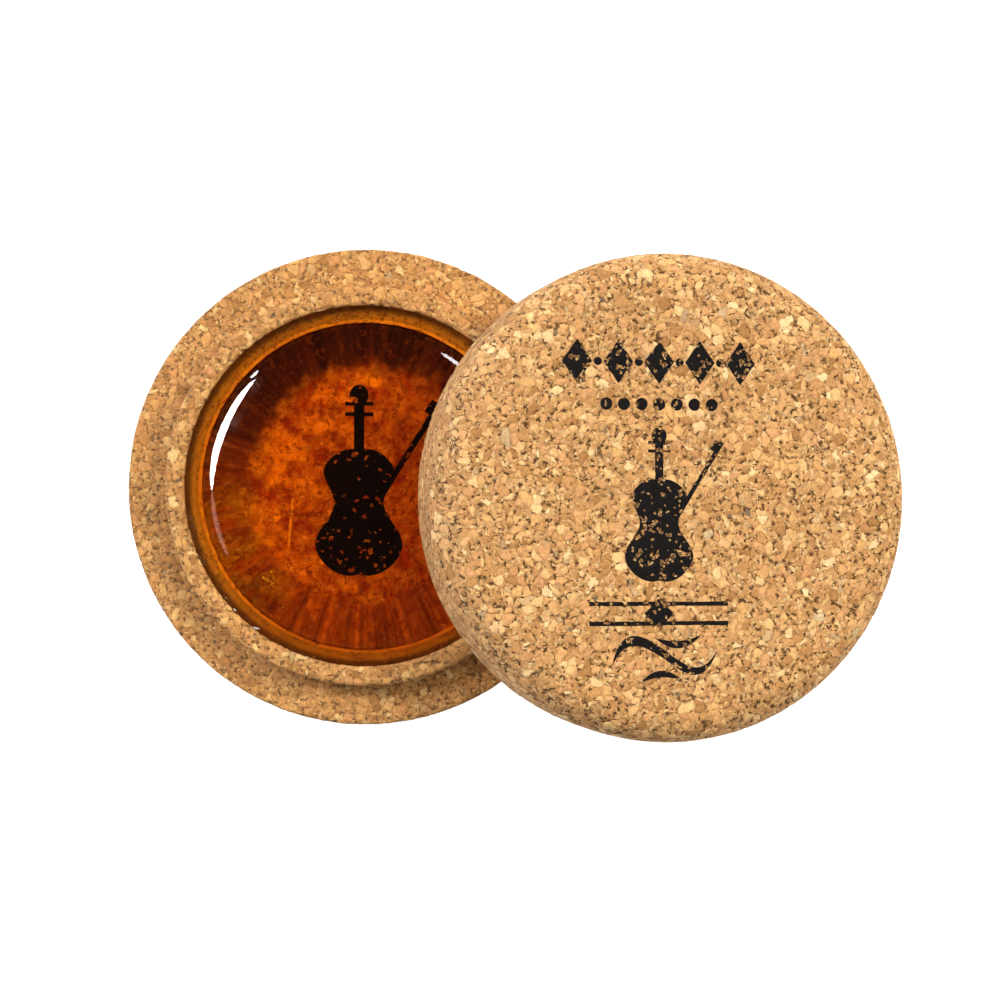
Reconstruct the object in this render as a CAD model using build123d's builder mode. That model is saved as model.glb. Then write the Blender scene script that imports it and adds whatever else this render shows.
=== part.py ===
"""Rosin cake cast in the base of a round cork case, with the case's lid leaning on the base.

Millimetres, +Z up.  The base stands flat with the centre of its underside at the origin.  The lid's
left edge rests on the base's spigot and its right edge on the table.
"""
from build123d import *
from math import cos, radians, sin, sqrt, tan
import os

os.makedirs("parts", exist_ok=True)

# Case
case_radius = 30.0
shoulder_height = 6.5      # flat ring the closed lid sits on
spigot_top = 9.5           # rim of the raised ring that the lid slides over
spigot_radius = 25.0
recess_radius = 22.5       # mouth of the pocket the rosin is cast into
pocket_radius = 20.6       # the pocket below its sloping ledge
floor_thickness = 2.6
ledge_low = 6.7            # height where the pocket's wall starts to slope outward
ledge_high = 8.2           # and where it stands upright again
base_corner = 3.5          # rounding of the base's lower edge
rim_break = 0.4            # small rounding of the shoulder's outer edge
spigot_break = 0.5         # rounding of the spigot's two upper edges

# Lid
lid_height = 12.0
lid_corner = 4.0           # rounding of the lid's top edge
socket_radius = 25.15      # bore that fits over the spigot
socket_depth = 7.0
skirt_break = 0.4          # rounding of the skirt's outer lower edge

# Rosin
plateau_radius = 15.5
plateau_height = 10.2
shoulder_end_radius = 20.3
shoulder_end_height = 8.5  # lowest line of the gutter between the shoulder and the cork wall
meniscus_height = 9.0      # where the rosin meets the cork wall

# How the lid leans
lid_tilt = 11.35           # degrees from level
lid_heading = -2.5         # degrees, direction the lid leans out in
spigot_gap = 0.1           # air between the lid's socket edge and the spigot
table_gap = 0.05           # air between the lid's lower edge and the table

# Printed marks
ink = 0.08
print_offset = -2.35       # the lid's artwork sits off its centre
headline_y = 16.3
lozenge_width = 3.7
lozenge_height = 5.3
lozenge_pitch = 5.1
bead_radius = 0.5
upper_rule_y = 11.2
dot_radius = 0.75
dot_pitch = 2.2
lid_emblem_y = -0.85
lid_emblem_height = 18.5
lower_rule_y = -14.1
rule_length = 17.3
rule_width = 0.55
rule_spread = 2.4
rule_lozenge = 2.6
flourish_x = -1.7
flourish_y = -19.6
base_emblem_x = -0.95
base_emblem_y = 0.9
base_emblem_height = 24.0

# The lid's underside plane, from the two places where it touches
tilt = radians(lid_tilt)
heading = radians(lid_heading)
underside_height = case_radius * sin(tilt) + table_gap
contact_run = (spigot_top + spigot_gap - underside_height) / tan(tilt)
reach = contact_run + sqrt(contact_run**2 + spigot_radius**2 - socket_radius**2)
lid_origin = Vector(reach * cos(heading), reach * sin(heading), underside_height)
lid_up = Vector(sin(tilt) * cos(heading), sin(tilt) * sin(heading), cos(tilt))
lid_right = Vector(cos(tilt), 0, -sin(tilt) * cos(heading))
lid_plane = Plane(origin=lid_origin, x_dir=lid_right, z_dir=lid_up)
lid_top = lid_plane.offset(lid_height)
lid_axis = Axis(lid_origin, lid_up)


def print_plane(plane, x, y):
    """The plane of one printed mark, moved within its cork face."""
    return Plane(origin=plane.from_local_coords((x, y, 0)), x_dir=plane.x_dir, z_dir=plane.z_dir)


# Right side of the violin's body, in twentieths of the pictogram's height
violin_side = (
    (0, -10),
    (2.9, -9.5),
    (4.6, -6.8),
    (3.3, -4.2),
    (2.6, -2.6),
    (3.1, -0.9),
    (3.7, 0.9),
    (2.4, 2.7),
    (0, 3.1),
)


def violin(plane, height):
    """A plain violin-and-bow pictogram, `height` tall, centred on the plane."""
    unit = height / 20
    with BuildSketch(plane) as art:
        with BuildLine():
            Spline(*[(x * unit, y * unit) for x, y in violin_side])
            mirror(about=Plane.YZ)
        make_face()
        with Locations((0, 5.2 * unit)):
            Rectangle(1.1 * unit, 6.0 * unit)
        with Locations((0, 8.9 * unit)):
            Ellipse(1.0 * unit, 1.1 * unit)
        for peg_height in (6.9, 8.0):
            with Locations((0, peg_height * unit)):
                Rectangle(3.0 * unit, 0.4 * unit)
        with Locations((4.6 * unit, 1.8 * unit)):
            Rectangle(0.6 * unit, 15.0 * unit, rotation=-32)
        with Locations((7.8 * unit, 7.5 * unit)):
            Rectangle(1.2 * unit, 1.5 * unit, rotation=-32)
    return art.sketch


# Section of the pocket, up to the height where the rosin meets the cork
pocket_wall = [
    (0, floor_thickness),
    (pocket_radius, floor_thickness),
    (pocket_radius, ledge_low),
    (recess_radius, ledge_high),
    (recess_radius, meniscus_height),
]

# Base: a low drum with a raised spigot and a pocket for the rosin
with BuildPart() as cork_base:
    with BuildSketch(Plane.XY):
        Circle(case_radius)
    extrude(amount=shoulder_height)
    fillet(cork_base.faces().sort_by(Axis.Z)[0].edges(), base_corner)
    fillet(cork_base.faces().sort_by(Axis.Z)[-1].edges(), rim_break)
    with BuildSketch(Plane.XY.offset(shoulder_height)):
        Circle(spigot_radius)
    extrude(amount=spigot_top - shoulder_height)
    with BuildSketch(Plane.XZ):
        with BuildLine():
            Polyline(*pocket_wall, (recess_radius, spigot_top), (0, spigot_top), close=True)
        make_face()
    revolve(axis=Axis.Z, mode=Mode.SUBTRACT)
    fillet(cork_base.faces().sort_by(Axis.Z)[-1].edges(), spigot_break)
cork_base.part.label = "cork_base"
export_step(cork_base.part, "parts/cork_base.step")

# Mark printed on the floor of the pocket, under the rosin
with BuildPart() as base_emblem:
    base_mark = violin(
        Plane.XY.offset(floor_thickness).move(Location((base_emblem_x, base_emblem_y, 0))),
        base_emblem_height,
    )
    extrude(base_mark, amount=ink)
base_emblem.part.label = "base_emblem"
export_step(base_emblem.part, "parts/base_emblem.step")

# Rosin: poured against the cork, with a low plateau, a rounded shoulder and a gutter round it
with BuildPart() as rosin_cake:
    with BuildSketch(Plane.XZ):
        with BuildLine():
            Polyline(*pocket_wall)
            Polyline((0, floor_thickness), (0, plateau_height), (plateau_radius, plateau_height))
            TangentArc(
                (plateau_radius, plateau_height),
                (shoulder_end_radius, shoulder_end_height),
                tangent=(1, 0),
            )
            TangentArc(
                (shoulder_end_radius, shoulder_end_height),
                (recess_radius, meniscus_height),
                tangent=(1, 0),
            )
        make_face()
    revolve(axis=Axis.Z)
    add(base_emblem.part, mode=Mode.SUBTRACT)
rosin_cake.part.label = "rosin_cake"
export_step(rosin_cake.part, "parts/rosin_cake.step")

# Lid: a deeper drum with a socket for the spigot
with BuildPart() as cork_lid:
    with BuildSketch(lid_plane):
        Circle(case_radius)
    extrude(amount=lid_height)
    fillet(cork_lid.faces().sort_by(lid_axis)[-1].edges(), lid_corner)
    fillet(cork_lid.faces().sort_by(lid_axis)[0].edges(), skirt_break)
    with BuildSketch(lid_plane):
        Circle(socket_radius)
    extrude(amount=socket_depth, mode=Mode.SUBTRACT)
cork_lid.part.label = "cork_lid"
export_step(cork_lid.part, "parts/cork_lid.step")

# Wide band near the lid's top edge: five lozenges with beads between them
with BuildPart() as lid_headline:
    with BuildSketch(print_plane(lid_top, print_offset, headline_y)):
        with GridLocations(lozenge_pitch, 0, 5, 1):
            Polygon(
                (-lozenge_width / 2, 0),
                (0, -lozenge_height / 2),
                (lozenge_width / 2, 0),
                (0, lozenge_height / 2),
            )
        with GridLocations(lozenge_pitch, 0, 4, 1):
            Circle(bead_radius)
    extrude(amount=ink)
lid_headline.part.label = "lid_headline"
export_step(lid_headline.part, "parts/lid_headline.step")

# Row of dots
with BuildPart() as lid_upper_rule:
    with BuildSketch(print_plane(lid_top, print_offset, upper_rule_y)):
        with GridLocations(dot_pitch, 0, 7, 1):
            Circle(dot_radius)
    extrude(amount=ink)
lid_upper_rule.part.label = "lid_upper_rule"
export_step(lid_upper_rule.part, "parts/lid_upper_rule.step")

# Pictogram in the middle
with BuildPart() as lid_emblem:
    lid_mark = violin(print_plane(lid_top, print_offset, lid_emblem_y), lid_emblem_height)
    extrude(lid_mark, amount=ink)
lid_emblem.part.label = "lid_emblem"
export_step(lid_emblem.part, "parts/lid_emblem.step")

# Double rule with a lozenge in the middle
with BuildPart() as lid_lower_rule:
    with BuildSketch(print_plane(lid_top, print_offset, lower_rule_y)):
        with GridLocations(0, rule_spread, 1, 2):
            Rectangle(rule_length, rule_width)
        Rectangle(rule_lozenge, rule_lozenge, rotation=45)
    extrude(amount=ink)
lid_lower_rule.part.label = "lid_lower_rule"
export_step(lid_lower_rule.part, "parts/lid_lower_rule.step")

# Swash flourish with thick and thin strokes
with BuildPart() as lid_flourish:
    with BuildSketch(print_plane(lid_top, flourish_x, flourish_y)):
        with BuildLine():
            Spline((-6.6, -1.2), (-3.6, 1.6), (0, 0), (3.4, -1.9), (6.6, 0.9))
            Spline((6.6, 0.9), (3.7, -1.0), (0.3, 0.9), (-3.4, 2.8), (-6.6, -1.2))
        make_face()
        with BuildLine():
            Spline((-3.0, -2.9), (-0.6, -1.4), (2.4, -2.7))
            Spline((2.4, -2.7), (-0.6, -2.2), (-3.0, -2.9))
        make_face()
        with BuildLine():
            Spline((-1.2, 2.6), (1.9, 1.3), (4.6, 2.9))
            Spline((4.6, 2.9), (1.8, 2.2), (-1.2, 2.6))
        make_face()
    extrude(amount=ink)
lid_flourish.part.label = "lid_flourish"
export_step(lid_flourish.part, "parts/lid_flourish.step")
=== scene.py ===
"""The rosin cake in its cork case: cork with real grain and relief, clear amber rosin and worn ink."""
import math
import random

import bmesh
import bpy
from mathutils import Matrix, Vector, noise
from mathutils.bvhtree import BVHTree
from mathutils.geometry import delaunay_2d_cdt


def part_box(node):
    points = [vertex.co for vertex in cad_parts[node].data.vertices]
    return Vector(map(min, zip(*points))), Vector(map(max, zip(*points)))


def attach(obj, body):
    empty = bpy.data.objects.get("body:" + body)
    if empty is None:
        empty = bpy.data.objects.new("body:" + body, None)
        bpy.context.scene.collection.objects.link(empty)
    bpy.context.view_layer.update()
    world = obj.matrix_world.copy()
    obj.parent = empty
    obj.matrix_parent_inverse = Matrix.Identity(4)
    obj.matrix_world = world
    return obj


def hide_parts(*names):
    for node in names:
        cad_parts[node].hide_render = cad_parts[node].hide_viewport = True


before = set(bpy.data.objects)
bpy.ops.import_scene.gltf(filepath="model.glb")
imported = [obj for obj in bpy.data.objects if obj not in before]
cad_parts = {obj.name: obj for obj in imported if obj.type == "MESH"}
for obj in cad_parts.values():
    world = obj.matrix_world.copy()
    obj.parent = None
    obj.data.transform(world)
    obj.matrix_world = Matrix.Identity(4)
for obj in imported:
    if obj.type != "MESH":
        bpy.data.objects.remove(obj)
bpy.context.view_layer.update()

MM = 0.001
random.seed(7)

# ---------------------------------------------------------------------------------------------
# Sizes: what the frame's boxes give, then the rest of the design, all in metres
# ---------------------------------------------------------------------------------------------
base_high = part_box("cork_base")[1]
rosin_low, rosin_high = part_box("rosin_cake")
case_radius = base_high[0]
spigot_top = base_high[2]
recess_radius = rosin_high[0]
floor_height = rosin_low[2]
plateau_height = rosin_high[2]

shoulder_height = 6.5 * MM
spigot_radius = 25.0 * MM
base_corner = 3.5 * MM
rim_break = 0.4 * MM
spigot_break = 0.5 * MM
lid_height = 12.0 * MM
lid_corner = 4.0 * MM
socket_radius = 25.15 * MM
socket_depth = 7.0 * MM
skirt_break = 0.4 * MM
plateau_radius = 15.5 * MM
shoulder_end_radius = 20.3 * MM
crease_height = 8.5 * MM   # the gutter's lowest line
meniscus_height = 9.0 * MM
pocket_radius = 20.6 * MM
ledge_low = 6.7 * MM
ledge_high = 8.2 * MM

lid_tilt = math.radians(11.35)
lid_heading = math.radians(-2.5)
spigot_gap = 0.1 * MM
table_gap = 0.05 * MM

FINE = 0.25 * MM           # mesh spacing where the cork is seen
MEDIUM = 0.35 * MM
COARSE = 0.9 * MM          # and where it is hidden


def lid_placement():
    """The lid's own frame, origin at the centre of its underside, in the row frame."""
    underside = case_radius * math.sin(lid_tilt) + table_gap
    run = (spigot_top + spigot_gap - underside) / math.tan(lid_tilt)
    reach = run + math.sqrt(run**2 + spigot_radius**2 - socket_radius**2)
    cos_h, sin_h = math.cos(lid_heading), math.sin(lid_heading)
    up = Vector((math.sin(lid_tilt) * cos_h, math.sin(lid_tilt) * sin_h, math.cos(lid_tilt)))
    right = Vector((math.cos(lid_tilt), 0, -math.sin(lid_tilt) * cos_h)).normalized()
    away = up.cross(right)
    place = Matrix((right, away, up)).transposed().to_4x4()
    place.translation = Vector((reach * cos_h, reach * sin_h, underside))
    return place


LID_PLACE = lid_placement()
LID_TOP = LID_PLACE @ Matrix.Translation((0, 0, lid_height))
BASE_FLOOR = Matrix.Translation((0, 0, floor_height))


# ---------------------------------------------------------------------------------------------
# Turned shapes
# ---------------------------------------------------------------------------------------------
def line(start, end, step):
    """Points from start up to, but not including, end, each with the spacing wanted there."""
    count = max(1, round(math.dist(start, end) / step))
    across, rise = end[0] - start[0], end[1] - start[1]
    return [(start[0] + across * i / count, start[1] + rise * i / count, step) for i in range(count)]


def arc(centre, radius, start_deg, end_deg, step):
    """Points along an arc of the outline, not including its last."""
    sweep = math.radians(end_deg - start_deg)
    count = max(2, round(abs(sweep) * radius / step))
    angles = [math.radians(start_deg) + sweep * i / count for i in range(count)]
    return [(centre[0] + radius * math.cos(a), centre[1] + radius * math.sin(a), step) for a in angles]


def turn(name, outline, place=Matrix()):
    """A closed mesh turned from an outline whose two ends are on the axis, with even triangles."""
    mesh = bmesh.new()
    rings = []
    for index, (radius, height, step) in enumerate(outline):
        if radius < step / 4:
            rings.append([mesh.verts.new(place @ Vector((0, 0, height)))])
            continue
        count = max(8, round(math.tau * radius / step))
        angles = [math.tau * (i + 0.5 * (index % 2)) / count for i in range(count)]
        rings.append([mesh.verts.new(place @ Vector((radius * math.cos(a), radius * math.sin(a), height)))
                      for a in angles])
    for inner, outer in zip(rings, rings[1:]):
        stitch(mesh, inner, outer)
    bmesh.ops.recalc_face_normals(mesh, faces=mesh.faces)
    return finish_mesh(name, mesh)


def stitch(mesh, first, second):
    """Triangles between two rings that may have different numbers of vertices."""
    i = j = 0
    first_count = len(first) if len(first) > 1 else 0
    second_count = len(second) if len(second) > 1 else 0
    while i < first_count or j < second_count:
        step_first = (i + 1) / first_count if i < first_count else 2
        step_second = (j + 1) / second_count if j < second_count else 2
        a, b = first[i % len(first)], second[j % len(second)]
        if step_first <= step_second:
            i += 1
            mesh.faces.new((a, first[i % len(first)], b))
        else:
            j += 1
            mesh.faces.new((a, second[j % len(second)], b))


def finish_mesh(name, mesh):
    """A smooth-shaded object from a bmesh, in the scene."""
    data = bpy.data.meshes.new(name)
    mesh.to_mesh(data)
    mesh.free()
    data.shade_smooth()
    piece = bpy.data.objects.new(name, data)
    bpy.context.scene.collection.objects.link(piece)
    return piece


# ---------------------------------------------------------------------------------------------
# Node graphs.  Shader and geometry trees share the nodes used here, so one function draws the cork's
# granules for both the colour and the relief.
# ---------------------------------------------------------------------------------------------
class Graph:
    """Short ways of adding nodes to a tree."""

    def __init__(self, tree):
        self.tree = tree

    def node(self, kind, inputs=None, **settings):
        made = self.tree.nodes.new(kind)
        for key, value in settings.items():
            setattr(made, key, value)
        for key, value in (inputs or {}).items():
            self.feed(made.inputs[key], value)
        return made

    def feed(self, socket, value):
        if isinstance(value, bpy.types.NodeSocket):
            self.tree.links.new(value, socket)
        else:
            socket.default_value = value

    def math(self, operation, a, b=0.0, c=0.0):
        return self.node("ShaderNodeMath", {0: a, 1: b, 2: c}, operation=operation).outputs[0]

    def vector(self, operation, a, b=(0, 0, 0)):
        return self.node("ShaderNodeVectorMath", {0: a, 1: b}, operation=operation).outputs[0]

    def scaled(self, a, factor):
        return self.node("ShaderNodeVectorMath", {0: a, "Scale": factor}, operation="SCALE").outputs[0]

    def split(self, a):
        return self.node("ShaderNodeSeparateXYZ", {0: a}).outputs

    def length(self, a):
        return self.node("ShaderNodeVectorMath", {0: a}, operation="LENGTH").outputs["Value"]

    def dot(self, a, b):
        return self.node("ShaderNodeVectorMath", {0: a, 1: b}, operation="DOT_PRODUCT").outputs["Value"]

    def distance(self, a, b):
        return self.math("ABSOLUTE", self.math("SUBTRACT", a, b))

    def centred(self, color):
        """A random colour's three parts as numbers from -0.5 to 0.5."""
        return self.vector("SUBTRACT", color, (0.5, 0.5, 0.5))

    def span(self, value, low, high, to_low=0.0, to_high=1.0, smooth=False):
        kind = "SMOOTHSTEP" if smooth else "LINEAR"
        inputs = {0: value, 1: low, 2: high, 3: to_low, 4: to_high}
        return self.node("ShaderNodeMapRange", inputs, interpolation_type=kind, clamp=True).outputs[0]

    def noise(self, at, scale, detail=2.0, rough=0.5):
        inputs = {"Vector": at, "Scale": scale, "Detail": detail, "Roughness": rough}
        return self.node("ShaderNodeTexNoise", inputs, noise_dimensions="3D")

    def voronoi(self, at, scale, feature="F1"):
        inputs = {"Vector": at, "Scale": scale}
        return self.node("ShaderNodeTexVoronoi", inputs, feature=feature, voronoi_dimensions="3D")

    def cell_edge(self, at, scale):
        """The distance from the nearest wall between cells, in the units of at."""
        return self.math("DIVIDE", self.voronoi(at, scale, "DISTANCE_TO_EDGE").outputs[0], scale)

    def mix(self, factor, a, b):
        return self.node("ShaderNodeMix", {0: factor, 2: a, 3: b}, data_type="FLOAT").outputs[0]

    def mix_color(self, factor, a, b, blend="MIX"):
        inputs = {0: factor, 6: a, 7: b}
        return self.node("ShaderNodeMix", inputs, data_type="RGBA", blend_type=blend).outputs[2]

    def tinted(self, color, tint):
        return self.mix_color(1.0, color, tint, "MULTIPLY")

    def gray(self, value):
        return self.node("ShaderNodeCombineXYZ", {0: value, 1: value, 2: value}).outputs[0]

    def ramp(self, value, stops):
        made = self.node("ShaderNodeValToRGB", {0: value})
        points = made.color_ramp.elements
        while len(points) < len(stops):
            points.new(0.5)
        for point, (place, color) in zip(points, stops):
            point.position = place
            point.color = (*color, 1.0)
        return made.outputs[0]


# How many granules of each size there are to the millimetre, and how deep their gaps go in millimetres
LARGE_GRANULES = 0.92
SMALL_GRANULES = 1.95
GAP_DEPTH = 0.15

CORK_TONES = (
    (0.0, (0.36, 0.165, 0.048)),
    (0.16, (0.51, 0.250, 0.080)),
    (0.34, (0.62, 0.310, 0.118)),
    (0.52, (0.65, 0.345, 0.120)),
    (0.72, (0.69, 0.385, 0.145)),
    (0.90, (0.77, 0.460, 0.185)),
    (1.0, (0.84, 0.570, 0.270)),
)
REDDISH = (0.60, 0.27, 0.12, 1)
GREYISH = (0.36, 0.30, 0.18, 1)
CHARRED = (0.10, 0.09, 0.075, 1)
SEAM_BROWN = (0.30, 0.14, 0.035, 1)
SOAKED_TAN = (0.62, 0.30, 0.10, 1)

# The heights, in millimetres, between which the pocket's colours give way to the ledge's
LEDGE_FADE = (ledge_low / MM - 0.9, ledge_low / MM - 0.1)


def cork_granules(graph, at):
    """Pressed cork at a point given in millimetres: each granule's tone, the gaps, and the relief."""
    big_warp = graph.centred(graph.noise(at, 0.5, 1.0).outputs["Color"])
    small_warp = graph.centred(graph.noise(at, 2.4, 2.0).outputs["Color"])
    warped = graph.vector("ADD", at, graph.scaled(big_warp, 1.6))
    warped = graph.vector("ADD", warped, graph.scaled(small_warp, 0.45))
    shifted = graph.vector("ADD", warped, (31.0, 17.0, 5.0))
    large = graph.voronoi(warped, LARGE_GRANULES).outputs["Color"]
    small = graph.voronoi(shifted, SMALL_GRANULES).outputs["Color"]
    large_edge = graph.cell_edge(warped, LARGE_GRANULES)
    small_edge = graph.cell_edge(shifted, SMALL_GRANULES)
    large_parts = graph.split(large)
    small_parts = graph.split(small)

    # Some of the large granules are broken into small ones
    broken = graph.math("GREATER_THAN", large_parts[1], 0.45)
    tone = graph.mix(broken, large_parts[0], small_parts[0])
    tint = graph.mix(broken, large_parts[2], small_parts[2])
    edge = graph.mix(broken, large_edge, graph.math("MINIMUM", large_edge, small_edge))

    openness = graph.noise(at, 1.7, 2.0, 0.55).outputs[0]
    gap_width = graph.span(openness, 0.50, 0.70, 0.010, 0.16)
    off_gap = graph.span(graph.math("DIVIDE", edge, gap_width), 0.35, 1.0, smooth=True)
    gap = graph.math("SUBTRACT", 1.0, off_gap)
    open_gap = graph.math("MULTIPLY", gap, graph.span(openness, 0.51, 0.64, 0.12, 1.0))
    seam = graph.math("SUBTRACT", 1.0, graph.span(edge, 0.0, 0.22, smooth=True))
    stretch = graph.vector("ADD", graph.scaled(graph.centred(large), 5.0), (5.5, 5.5, 5.5))
    fibre = graph.noise(graph.vector("MULTIPLY", at, stretch), 1.0, 3.0, 0.65).outputs[0]

    level = graph.math("MULTIPLY", graph.math("SUBTRACT", tint, 0.5), 0.05)
    roughness = graph.math("MULTIPLY", graph.math("SUBTRACT", fibre, 0.5), 0.05)
    height = graph.math("ADD", level, roughness)
    height = graph.math("SUBTRACT", height, graph.math("MULTIPLY", seam, 0.025))
    height = graph.math("SUBTRACT", height, graph.math("MULTIPLY", open_gap, GAP_DEPTH))
    return {"tone": tone, "tint": tint, "gap": open_gap, "seam": seam, "fibre": fibre, "height": height}


def granule_color(graph, at, cork):
    """Each granule's own tan, a few of them reddish, greyish or charred, mottled, and darker at its edge."""
    tan = graph.ramp(cork["tone"], CORK_TONES)
    tan = graph.mix_color(graph.span(cork["tint"], 0.72, 0.95, 0.0, 0.32), tan, REDDISH)
    tan = graph.mix_color(graph.span(cork["tint"], 0.06, 0.0, 0.0, 0.6), tan, GREYISH)
    tan = graph.mix_color(graph.span(cork["tint"], 0.004, 0.003, 0.0, 0.85), tan, CHARRED)
    fibrous = graph.span(cork["fibre"], 0.25, 0.75, 0.76, 1.20)
    blotchy = graph.span(graph.noise(at, 2.2, 3.0, 0.6).outputs[0], 0.30, 0.70, 0.76, 1.18)
    patchy = graph.span(graph.noise(at, 0.16, 2.0).outputs[0], 0.3, 0.7, 0.93, 1.05)
    shade = graph.math("MULTIPLY", graph.math("MULTIPLY", fibrous, blotchy), patchy)
    tan = graph.tinted(tan, graph.gray(shade))
    return graph.mix_color(graph.math("MULTIPLY", cork["seam"], 0.36), tan, SEAM_BROWN)


def cork_material(name, tint, hollow, soaked_with_painted_light=False):
    """Agglomerated cork: mixed tan granules with dark gaps between some of them, dry and matt.

    Hollow is the gaps' colour. Soaked cork is what the rosin was poured on: its colour holds the soaking and
    painted light and shade.
    """
    material = bpy.data.materials.new(name)
    material.use_nodes = True
    tree = material.node_tree
    graph = Graph(tree)
    shader = tree.nodes["Principled BSDF"]
    shader.inputs["Specular IOR Level"].default_value = 0.0 if soaked_with_painted_light else 0.3
    at = graph.node("ShaderNodeAttribute", attribute_name="cork_at").outputs["Vector"]
    cork = cork_granules(graph, at)
    tan = granule_color(graph, at, cork)
    gap_color = hollow
    if soaked_with_painted_light:
        # Under the rosin: the soaking's own tan, then a tint that also holds painted light and shade.
        veiled = graph.span(graph.split(at)[2], *LEDGE_FADE, 0.40, 0.80)
        tan = graph.tinted(graph.mix_color(veiled, tan, SOAKED_TAN), soak_tint_and_painted_light(graph, at))
        gap_color = graph.mix_color(0.7, tan, hollow)
    graph.feed(shader.inputs["Base Color"], graph.mix_color(cork["gap"], graph.tinted(tan, tint), gap_color))
    graph.feed(shader.inputs["Roughness"], graph.span(cork["fibre"], 0.3, 0.7, 0.72, 0.92))
    grain = graph.math("MULTIPLY", graph.noise(at, 14.0, 3.0, 0.7).outputs[0], 0.02)
    height = graph.math("ADD", cork["height"], grain)
    bump = graph.node("ShaderNodeBump", {"Strength": 0.8, "Distance": MM, "Height": height})
    graph.feed(shader.inputs["Normal"], bump.outputs[0])
    return material


def soak_tint_and_painted_light(graph, at):
    """The cork's colour under the rosin, with painted light and shade: on the pocket's floor, in its corner,
    and on its ledge.
    """
    along = graph.split(at)
    flat = graph.vector("MULTIPLY", at, (1, 1, 0))
    from_axis = graph.length(flat)
    around = graph.vector("NORMALIZE", flat)
    wander = graph.span(graph.noise(at, 0.5, 3.0).outputs[0], 0.3, 0.7, -1.0, 1.0)
    in_corner = graph.span(graph.math("ADD", from_axis, wander), 13.4, 16.4, smooth=True)
    floor = clouded_floor_painted_light(graph, at, along)
    corner = corner_painted_light_and_shade(graph, at, along, around)
    ledge = ochre_ledge_painted_light(graph, along, from_axis)
    pocket = graph.mix_color(in_corner, floor, corner)
    return graph.mix_color(graph.span(along[2], *LEDGE_FADE), pocket, ledge)


def clouded_floor_painted_light(graph, at, along):
    """Dark and bright clouds, with painted shade that is redder towards the lid, and one painted highlight,
    a bright line on the left.
    """
    cloudiness = graph.span(graph.noise(at, 0.34, 5.0, 0.68).outputs[0], 0.38, 0.60)
    clouds = graph.mix_color(cloudiness, (0.55, 0.21, 0.08, 1), (1.40, 1.45, 1.0, 1))
    # Painted shade: darker and redder towards the lid, where the lid shades the rosin.
    painted_lid_shade = graph.span(along[0], -4.0, 16.0, 0.0, 0.6)
    floor = graph.mix_color(painted_lid_shade, clouds, (0.75, 0.42, 0.3, 1))
    # A painted highlight: one bright line on the left of the floor.
    painted_glint_x = graph.span(along[1], -8.0, -1.0, -9.9, -9.3)
    beside_it = graph.span(graph.distance(along[0], painted_glint_x), 0.10, 0.22, 1.0, 0.0)
    along_it = graph.span(graph.distance(along[1], -4.5), 2.8, 3.6, 1.0, 0.0)
    return graph.mix_color(graph.math("MULTIPLY", beside_it, along_it), floor, (1.6, 2.1, 1.3, 1))


def corner_painted_light_and_shade(graph, at, along, around):
    """Painted light and shade: bright lines pointing outward for light focused through the rosin, darkest on
    the far side, with a painted golden glow at the near left.
    """
    # Painted light: bright lines pointing outward, for light focused through the rosin.
    fine = graph.span(graph.noise(around, 20.0, 3.0, 0.6).outputs[0], 0.34, 0.66, 0.50, 1.45)
    broad = graph.span(graph.noise(around, 5.0).outputs[0], 0.4, 0.6, 0.75, 1.25)
    # Painted shade: darkest on the far side, lighter towards the near side.
    painted_side_shade = graph.span(along[1], 11.0, -3.0, 0.15, 0.66, smooth=True)
    painted_streak = graph.math("MULTIPLY", graph.math("MULTIPLY", fine, broad), painted_side_shade)
    painted_streaks = graph.tinted(graph.gray(painted_streak), (1.0, 0.68, 0.40, 1))
    # A painted golden glow at the near left.
    painted_glow_near_left = graph.span(graph.dot(around, (-0.90, -0.44, 0)), 0.84, 0.97, 0.0, 0.9, smooth=True)
    patchy = graph.span(graph.noise(at, 0.45, 3.0).outputs[0], 0.40, 0.58)
    return graph.mix_color(graph.math("MULTIPLY", painted_glow_near_left, patchy), painted_streaks, (1.0, 1.25, 1.0, 1))


def ochre_ledge_painted_light(graph, along, from_axis):
    """Ochre, with a painted highlight line at the pocket's lip, a painted shade line at the wall, and
    painted shade on the near side.
    """
    # A painted highlight: a bright line at the pocket's lip.
    from_lip = graph.distance(from_axis, pocket_radius / MM + 0.12)
    past_painted_lip_highlight = graph.span(from_lip, 0.10, 0.40, smooth=True)
    ledge = graph.mix_color(past_painted_lip_highlight, (2.4, 1.9, 1.2, 1), (1.15, 0.90, 0.50, 1))
    # Painted shade: a dark line where the ledge meets the wall.
    painted_wall_shade = graph.span(from_axis, 21.6, 22.3, smooth=True)
    ledge = graph.mix_color(painted_wall_shade, ledge, (0.34, 0.24, 0.12, 1))
    # Painted shade: darker on the near side.
    painted_side_shade = graph.span(along[1], -8.0, -20.0, 0.0, 1.0, smooth=True)
    return graph.mix_color(painted_side_shade, ledge, graph.tinted(ledge, (0.62, 0.46, 0.3, 1)))


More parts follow.
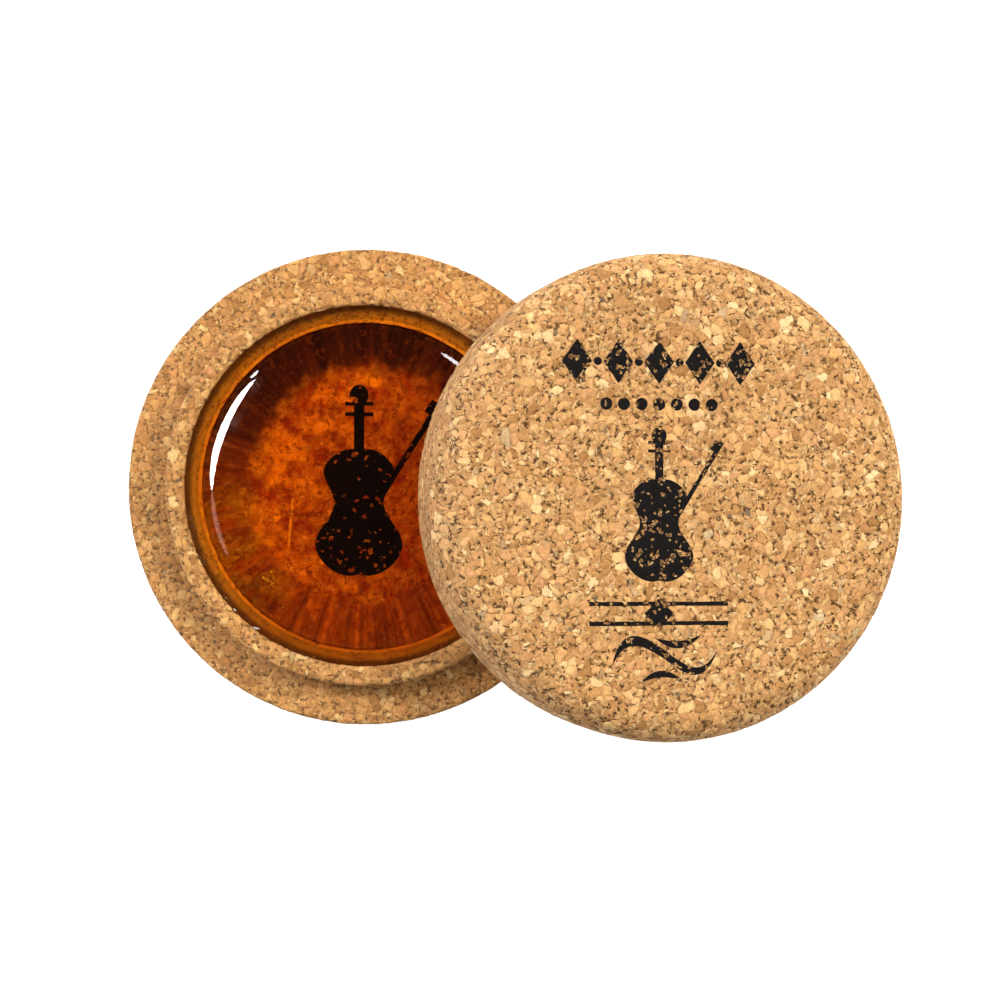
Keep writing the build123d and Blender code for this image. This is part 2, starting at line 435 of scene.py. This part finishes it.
def relief_tree():
    """Geometry nodes that push the cork's surface in at its gaps and out at its proud granules."""
    tree = bpy.data.node_groups.new("cork_relief", "GeometryNodeTree")
    tree.interface.new_socket("Geometry", in_out="INPUT", socket_type="NodeSocketGeometry")
    tree.interface.new_socket("Geometry", in_out="OUTPUT", socket_type="NodeSocketGeometry")
    graph = Graph(tree)
    entry = graph.node("NodeGroupInput")
    stored = graph.node("GeometryNodeInputNamedAttribute", {"Name": "cork_at"}, data_type="FLOAT_VECTOR")
    normal = graph.node("GeometryNodeInputNormal").outputs[0]
    height = cork_granules(graph, stored.outputs[0])["height"]
    offset = graph.scaled(normal, graph.math("MULTIPLY", height, MM))
    moved = graph.node("GeometryNodeSetPosition", {"Geometry": entry.outputs[0], "Offset": offset})
    leave = graph.node("NodeGroupOutput")
    tree.links.new(moved.outputs[0], leave.inputs[0])
    return tree


def remember_place(piece, shift):
    """Stores where each vertex was before the relief, in millimetres, for the cork's pattern."""
    mesh = piece.data
    stored = mesh.attributes.new("cork_at", "FLOAT_VECTOR", "POINT")
    places = [value for vertex in mesh.vertices for value in (vertex.co / MM + shift)]
    stored.data.foreach_set("vector", places)


def apply_modifiers(piece):
    """Makes the evaluated mesh the piece's own."""
    graph = bpy.context.evaluated_depsgraph_get()
    mesh = bpy.data.meshes.new_from_object(piece.evaluated_get(graph), depsgraph=graph)
    piece.modifiers.clear()
    old, piece.data = piece.data, mesh
    bpy.data.meshes.remove(old)
    mesh.name = piece.name


RELIEF = relief_tree()
LID_CORK = cork_material("lid_cork", (1.0, 1.0, 1.0, 1), (0.10, 0.045, 0.014, 1))
# The base's cork is the lid's tinted darker and warmer, painted shade for the shade the base sits in; its
# gaps are browner.
BASE_CORK = cork_material("base_cork", (0.90, 0.82, 0.67, 1), (0.17, 0.080, 0.026, 1))
SOAKED_CORK_PAINTED_LIGHT = cork_material("soaked_cork_painted_light", (1.0, 1.0, 1.0, 1), (0.24, 0.08, 0.02, 1), soaked_with_painted_light=True)


# How far past the pocket's own sizes the soaked cork goes
SOAK_PAST_WALL = 0.4 * MM
SOAK_PAST_EDGE = 0.1 * MM
SOAK_PAST_FLOOR = 0.5 * MM


def under_rosin(place):
    """Whether a place on the cork is inside the pocket, below the rosin's edge."""
    inside = place.xy.length < recess_radius + SOAK_PAST_WALL and place.z < meniscus_height + SOAK_PAST_EDGE
    return inside and place.z > floor_height - SOAK_PAST_FLOOR


def make_cork(piece, cork, shift, node, body):
    """Gives a turned piece its relief and cork, and puts it in its CAD node's place."""
    remember_place(piece, shift)
    piece.modifiers.new("relief", "NODES").node_group = RELIEF
    apply_modifiers(piece)
    piece.data.materials.append(cork)
    piece.data.shade_smooth()
    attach(piece, body)
    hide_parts(node)
    return piece


# ---------------------------------------------------------------------------------------------
# The cork base and lid
# ---------------------------------------------------------------------------------------------
def base_outline():
    """Half the base's section, from the middle of its underside round to the middle of the pocket."""
    low = case_radius - base_corner
    return [
        *line((0, 0), (low, 0), 0.7 * MM),
        *arc((low, base_corner), base_corner, -90, 0, MEDIUM),
        *line((case_radius, base_corner), (case_radius, shoulder_height - rim_break), FINE),
        *arc((case_radius - rim_break, shoulder_height - rim_break), rim_break, 0, 90, FINE),
        *line((case_radius - rim_break, shoulder_height), (spigot_radius, shoulder_height), FINE),
        *line((spigot_radius, shoulder_height), (spigot_radius, spigot_top - spigot_break), FINE),
        *arc((spigot_radius - spigot_break, spigot_top - spigot_break), spigot_break, 0, 90, FINE),
        *line((spigot_radius - spigot_break, spigot_top), (recess_radius + spigot_break, spigot_top), FINE),
        *arc((recess_radius + spigot_break, spigot_top - spigot_break), spigot_break, 90, 180, FINE),
        *line((recess_radius, spigot_top - spigot_break), (recess_radius, ledge_high), FINE),
        *line((recess_radius, ledge_high), (pocket_radius, ledge_low), FINE),
        *line((pocket_radius, ledge_low), (pocket_radius, floor_height), MEDIUM),
        *line((pocket_radius, floor_height), (0, floor_height), 0.3 * MM),
        (0, floor_height, MM),
    ]


def lid_outline():
    """Half the lid's section, from the middle of the socket's ceiling round to the middle of its top."""
    high = lid_height - lid_corner
    return [
        *line((0, socket_depth), (socket_radius, socket_depth), COARSE),
        *line((socket_radius, socket_depth), (socket_radius, 0), COARSE),
        *line((socket_radius, 0), (case_radius - skirt_break, 0), MEDIUM),
        *arc((case_radius - skirt_break, skirt_break), skirt_break, -90, 0, FINE),
        *line((case_radius, skirt_break), (case_radius, high), FINE),
        *arc((case_radius - lid_corner, high), lid_corner, 0, 90, FINE),
        *line((case_radius - lid_corner, lid_height), (0, lid_height), FINE),
        (0, lid_height, MM),
    ]


BASE_SHIFT = Vector((0, 0, 0))
LID_SHIFT = Vector((211, 97, 53))  # the lid is cut from another part of the cork

base = turn("base_cork", base_outline())
make_cork(base, BASE_CORK, BASE_SHIFT, "cork_base", "base")
# The faces under the rosin get the cork whose colour holds the soaking and painted light and shade.
base.data.materials.append(SOAKED_CORK_PAINTED_LIGHT)
for face in base.data.polygons:
    face.material_index = int(under_rosin(face.center))

lid = turn("lid_cork", lid_outline(), LID_PLACE)
make_cork(lid, LID_CORK, LID_SHIFT, "cork_lid", "lid")


# ---------------------------------------------------------------------------------------------
# Ink: a thin skin on the cork, broken where the ink missed the cork's gaps
# ---------------------------------------------------------------------------------------------
def ink_material(name, gloss):
    """Black ink, slightly worn to brown in places."""
    material = bpy.data.materials.new(name)
    material.use_nodes = True
    graph = Graph(material.node_tree)
    shader = material.node_tree.nodes["Principled BSDF"]
    at = graph.node("ShaderNodeAttribute", attribute_name="cork_at").outputs["Vector"]
    grain = graph.noise(at, 5.0, 3.0, 0.6).outputs[0]
    color = graph.ramp(grain, (
        (0.30, (0.003, 0.003, 0.003)),
        (0.62, (0.010, 0.008, 0.007)),
        (0.80, (0.040, 0.026, 0.016)),
    ))
    graph.feed(shader.inputs["Base Color"], color)
    graph.feed(shader.inputs["Roughness"], graph.span(grain, 0.3, 0.7, 0.6, 0.85))
    shader.inputs["Specular IOR Level"].default_value = gloss
    bump = graph.node("ShaderNodeBump", {"Strength": 0.5, "Distance": 0.05 * MM, "Height": grain})
    graph.feed(shader.inputs["Normal"], bump.outputs[0])
    return material


LID_INK = ink_material("lid_ink", 0.15)
BASE_INK = ink_material("ink_under_rosin", 0.0)
INK_SPACING = 0.17 * MM
INK_PROUD = 0.03 * MM
INK_THICKNESS = 0.05 * MM
ROW_RATIO = 0.87               # the grid's row height over its spacing, near an even triangle's
LID_INK_MISSES = 0.065 * MM    # cork deeper than this stays bare
BASE_INK_MISSES = 0.10 * MM


def flat_outline(node, place):
    """The CAD mark's underside in the plane's own coordinates: points, outline edges, and triangles."""
    to_plane = place.inverted()
    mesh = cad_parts[node].data
    mesh.calc_loop_triangles()
    local = [to_plane @ vertex.co for vertex in mesh.vertices]
    keys, points, triangles = {}, [], []
    for triangle in mesh.loop_triangles:
        if any(abs(local[v].z) > 0.02 * MM for v in triangle.vertices):
            continue
        corners = []
        for v in triangle.vertices:
            key = (round(local[v].x / MM, 3), round(local[v].y / MM, 3))
            if key not in keys:
                keys[key] = len(points)
                points.append(local[v].to_2d())
            corners.append(keys[key])
        if len(set(corners)) == 3:
            triangles.append(corners)
    uses = {}
    for corners in triangles:
        for a, b in zip(corners, corners[1:] + corners[:1]):
            pair = (min(a, b), max(a, b))
            uses[pair] = uses.get(pair, 0) + 1
    return points, [pair for pair, count in uses.items() if count == 1], triangles


def grid_points(points, inside):
    """A triangular grid over the points' box, where it is inside the outline."""
    low_x, high_x = min(p.x for p in points), max(p.x for p in points)
    low_y, high_y = min(p.y for p in points), max(p.y for p in points)
    rows = int((high_y - low_y) / (INK_SPACING * ROW_RATIO)) + 1
    columns = int((high_x - low_x) / INK_SPACING) + 1
    grid = []
    for row in range(rows):
        for column in range(columns):
            x = low_x + (column + 0.5 * (row % 2)) * INK_SPACING
            y = low_y + row * INK_SPACING * ROW_RATIO
            if inside(x, y):
                grid.append(Vector((x, y)))
    return grid


def ink_skin(name, node, place, cork, shift, ink, misses, body):
    """A skin over the cork inside the mark's outline, replacing the plain CAD mark.

    Where the cork's surface is deeper than misses, the ink didn't reach it and it stays bare.
    """
    points, edges, triangles = flat_outline(node, place)
    tree = BVHTree.FromPolygons([p.to_3d() for p in points], triangles)
    down = Vector((0, 0, -1))

    def inside(x, y):
        return tree.ray_cast(Vector((x, y, MM)), down)[0] is not None

    spread = [p / MM for p in points + grid_points(points, inside)]
    flat, _, faces, *_ = delaunay_2d_cdt(spread, edges, [], 1, 1e-4)
    to_plane = place.inverted()
    cork_tree = BVHTree.FromPolygons([to_plane @ v.co for v in cork.data.vertices],
                                     [tuple(p.vertices) for p in cork.data.polygons])
    mesh = bmesh.new()
    heights = []
    for p in flat:
        spot = Vector((p.x * MM, p.y * MM, 0))
        hit = cork_tree.ray_cast(spot + Vector((0, 0, MM)), down)[0]
        heights.append(hit.z)
        mesh.verts.new((spot.x, spot.y, hit.z + INK_PROUD))
    mesh.verts.ensure_lookup_table()
    for face in faces:
        middle = sum((flat[v] for v in face), Vector((0, 0))) / len(face) * MM
        if not inside(middle.x, middle.y):
            continue
        speckle = noise.noise(Vector((middle.x, middle.y, 0)) / MM * 2.6 + shift) * 0.05 * MM
        if sum(heights[v] for v in face) / len(face) + speckle < -misses:
            continue
        corners = [mesh.verts[v] for v in face]
        made = mesh.faces.new(corners)
        made.normal_update()
        if made.normal.z < 0:
            made.normal_flip()
    bmesh.ops.delete(mesh, geom=[v for v in mesh.verts if not v.link_faces], context="VERTS")
    mesh.transform(place)
    piece = finish_mesh(name, mesh)
    thick = piece.modifiers.new("thickness", "SOLIDIFY")
    thick.thickness = INK_THICKNESS
    thick.offset = -1
    remember_place(piece, shift)
    apply_modifiers(piece)
    piece.data.materials.append(ink)
    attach(piece, body)
    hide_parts(node)


for mark in ("lid_headline", "lid_upper_rule", "lid_emblem", "lid_lower_rule", "lid_flourish"):
    ink_skin(mark + "_ink", mark, LID_TOP, lid, LID_SHIFT, LID_INK, LID_INK_MISSES, "lid")
ink_skin("base_emblem_ink", "base_emblem", BASE_FLOOR, base, BASE_SHIFT, BASE_INK, BASE_INK_MISSES, "base")


# ---------------------------------------------------------------------------------------------
# Rosin
# ---------------------------------------------------------------------------------------------
ROSIN_STEP = 0.32 * MM
ROSIN_SOAK = 0.28 * MM     # how far the rosin reaches into the cork's gaps
MENISCUS_CREEP = 0.07 * MM # how much farther it reaches at its edge
MENISCUS_RISE = 0.2 * MM   # and how much higher it stands there
SURFACE_WAVE = 0.05        # how uneven the rosin's surface is, in millimetres
EDGE_RAGGED = 0.22         # and how ragged its edge
RAGGED_FROM = 21.6         # from this radius, in millimetres
BUBBLE_ROWS = (21.05, 21.75)   # the far rows' radii and height, in millimetres
BUBBLE_ROW_HEIGHT = 8.05


def tangent_arc(start, end, step):
    """An arc that leaves start level, heading outward, and reaches end."""
    across, rise = end[0] - start[0], end[1] - start[1]
    radius = (across**2 + rise**2) / (2 * abs(rise))
    sweep = math.degrees(math.asin(across / radius))
    if rise < 0:
        return arc((start[0], start[1] - radius), radius, 90, 90 - sweep, step)
    return arc((start[0], start[1] + radius), radius, -90, -90 + sweep, step)


def rosin_outline():
    """Half the rosin's section: plateau, shoulder, gutter, and the pocket that it fills."""
    mouth, bottom = recess_radius + ROSIN_SOAK, floor_height - ROSIN_SOAK
    wall = pocket_radius + ROSIN_SOAK
    crease = (shoulder_end_radius, crease_height)
    meniscus = (mouth + MENISCUS_CREEP, meniscus_height + MENISCUS_RISE)
    return [
        *line((0, plateau_height), (plateau_radius, plateau_height), ROSIN_STEP),
        *tangent_arc((plateau_radius, plateau_height), crease, ROSIN_STEP),
        *tangent_arc(crease, meniscus, ROSIN_STEP / 2),
        *line(meniscus, (mouth, ledge_high - ROSIN_SOAK), MM),
        *line((mouth, ledge_high - ROSIN_SOAK), (wall, ledge_low - ROSIN_SOAK), MM),
        *line((wall, ledge_low - ROSIN_SOAK), (wall, bottom), MM),
        *line((wall, bottom), (0, bottom), MM),
        (0, bottom, MM),
    ]


def rosin_material():
    """Clear glass that turns amber with depth, its surface hazed a little in places."""
    material = bpy.data.materials.new("amber_rosin")
    material.use_nodes = True
    tree = material.node_tree
    graph = Graph(tree)
    shader = tree.nodes["Principled BSDF"]
    shader.inputs["Base Color"].default_value = (1.0, 0.97, 0.93, 1)
    shader.inputs["Transmission Weight"].default_value = 1.0
    shader.inputs["IOR"].default_value = 1.54
    place = graph.node("ShaderNodeTexCoord").outputs["Object"]
    haze = graph.noise(graph.scaled(place, 1000.0), 0.35, 3.0, 0.6).outputs[0]
    graph.feed(shader.inputs["Roughness"], graph.span(haze, 0.35, 0.75, 0.0, 0.06))
    absorb = graph.node("ShaderNodeVolumeAbsorption")
    absorb.inputs["Color"].default_value = (0.995, 0.895, 0.03, 1)
    absorb.inputs["Density"].default_value = 700.0
    tree.links.new(absorb.outputs[0], tree.nodes["Material Output"].inputs["Volume"])
    return material


def settle(piece):
    """Makes the surface a little uneven, and ragged where it climbs the cork; keeps the crease crisp."""
    for vertex in piece.data.vertices:
        place = vertex.co / MM
        if place.z < ledge_high / MM:
            continue
        wave = noise.noise(place * 0.16) * SURFACE_WAVE
        reach = min(1.0, max(0.0, place.xy.length - RAGGED_FROM))
        ragged = noise.fractal(place * 0.9, 1.0, 2.0, 3) * EDGE_RAGGED * reach
        vertex.co.z += (wave + ragged) * MM
    radii = [vertex.co.xy.length for vertex in piece.data.vertices]
    for edge in piece.data.edges:
        edge.use_edge_sharp = all(abs(radii[v] - shoulder_end_radius) < 0.01 * MM for v in edge.vertices)


def bubble_list():
    """Where the rosin's bubbles are, in millimetres, with their half-sizes and how far each is turned."""
    bubbles = []
    for degrees in range(48, 136, 4):
        for radius in BUBBLE_ROWS:
            angle = math.radians(degrees + random.uniform(-1.3, 1.3))
            size = random.uniform(0.12, 0.20)
            spot = (radius * math.cos(angle), radius * math.sin(angle), BUBBLE_ROW_HEIGHT)
            bubbles.append((spot, (size, size, size * 0.8), 0))
    for _ in range(8):
        angle, radius = math.radians(random.uniform(222, 238)), random.uniform(15.5, 18.5)
        spot = (radius * math.cos(angle), radius * math.sin(angle), random.uniform(5.5, 7.0))
        size = (random.uniform(0.15, 0.32), random.uniform(0.3, 0.8), 0.15)
        bubbles.append((spot, size, random.uniform(20, 50)))
    return bubbles


def add_bubbles(piece):
    """Air inside the rosin: a fine double row along its far edge, and a few bubbles at the near left."""
    mesh = bmesh.new()
    mesh.from_mesh(piece.data)
    for spot, size, turned_deg in bubble_list():
        place = Matrix.Translation(Vector(spot) * MM) @ Matrix.Rotation(math.radians(turned_deg), 4, "Z")
        shape = place @ Matrix.Diagonal((*size, 1))
        made = bmesh.ops.create_icosphere(mesh, subdivisions=2, radius=MM, matrix=shape)
        faces = {face for vertex in made["verts"] for face in vertex.link_faces}
        bmesh.ops.reverse_faces(mesh, faces=list(faces))
    mesh.to_mesh(piece.data)
    mesh.free()
    piece.data.shade_smooth()


rosin = turn("rosin", rosin_outline())
settle(rosin)
add_bubbles(rosin)
rosin.data.materials.append(rosin_material())
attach(rosin, "base")
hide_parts("rosin_cake")


# ---------------------------------------------------------------------------------------------
# Floor, light and camera
# ---------------------------------------------------------------------------------------------
FLOOR_DROP = 0.05 * MM     # clears the cork's relief, which reaches a little below its underside


def make_floor():
    """White and lit from within, so that it shows no shadow, like the photograph's cut-out background."""
    mesh = bmesh.new()
    bmesh.ops.create_grid(mesh, x_segments=1, y_segments=1, size=3.0)
    floor = finish_mesh("floor", mesh)
    floor.location.z = -FLOOR_DROP
    material = bpy.data.materials.new("lit_floor")
    material.use_nodes = True
    shader = material.node_tree.nodes["Principled BSDF"]
    shader.inputs["Base Color"].default_value = (0.35, 0.35, 0.35, 1)
    shader.inputs["Roughness"].default_value = 0.9
    shader.inputs["Emission Color"].default_value = (1, 1, 1, 1)
    shader.inputs["Emission Strength"].default_value = 0.95
    floor.data.materials.append(material)


def aim(thing, place, target):
    """Puts a thing in its place and points it at the target."""
    thing.location = place
    thing.rotation_euler = (Vector(place) - Vector(target)).to_track_quat("Z", "Y").to_euler()


def soft_light(name, azimuth_deg, elevation_deg, distance, width, height, power, shines, color=(1, 1, 1)):
    """An elliptical softbox round the object, azimuth counted from +X towards +Y.

    One that shines lights the object but isn't mirrored in it, and one that doesn't is only mirrored.
    """
    data = bpy.data.lights.new(name, "AREA")
    data.shape = "ELLIPSE"
    data.size = width
    data.size_y = height
    data.energy = power
    data.color = color
    lamp = bpy.data.objects.new(name, data)
    bpy.context.scene.collection.objects.link(lamp)
    azimuth, elevation = math.radians(azimuth_deg), math.radians(elevation_deg)
    away = Vector((math.cos(azimuth) * math.cos(elevation), math.sin(azimuth) * math.cos(elevation),
                   math.sin(elevation)))
    aim(lamp, away * distance, (0, 0, 0))
    lamp.visible_glossy = not shines
    lamp.visible_diffuse = shines
    lamp.visible_transmission = shines


def make_light():
    """Soft light from above, right and left; one long highlight on the rosin, and three small ones."""
    world = bpy.data.worlds.new("studio")
    world.use_nodes = True
    world.node_tree.nodes["Background"].inputs["Color"].default_value = (1, 1, 1, 1)
    world.node_tree.nodes["Background"].inputs["Strength"].default_value = 0.03
    bpy.context.scene.world = world
    soft_light("overhead", 80, 82, 1.2, 1.9, 1.9, 11.2, True)
    soft_light("right_key", 28, 38, 1.0, 0.50, 0.50, 10.0, True)
    soft_light("left_key", 150, 36, 1.0, 0.50, 0.50, 8.8, True)
    soft_light("left_strip", 158.5, 27, 0.9, 0.62, 0.24, 16.0, False)
    soft_light("left_spot", 136, 17, 0.9, 0.06, 0.07, 0.4, False)
    soft_light("left_card", 192, 27, 0.9, 0.34, 0.16, 0.5, False, (1.0, 0.55, 0.45))
    soft_light("small_light", 59, 29, 0.9, 0.13, 0.11, 0.6, False)


def make_camera():
    """Almost straight down, as high above the object as the photograph was taken from."""
    data = bpy.data.cameras.new("camera")
    camera = bpy.data.objects.new("camera", data)
    bpy.context.scene.collection.objects.link(camera)
    distance = 0.285
    elevation = math.radians(88.4)
    target = Vector((0.0169, -0.0017, 0.005))
    frame_width_at_target = 0.1267
    data.sensor_width = 36
    data.lens = data.sensor_width * distance / frame_width_at_target
    data.clip_start = 0.01
    away = Vector((0, -math.cos(elevation), math.sin(elevation)))
    camera.location = target + away * distance
    camera.rotation_euler = (math.pi / 2 - elevation, 0, 0)
    bpy.context.scene.camera = camera


make_floor()
make_light()
make_camera()
bpy.context.scene.view_settings.view_transform = "Standard"
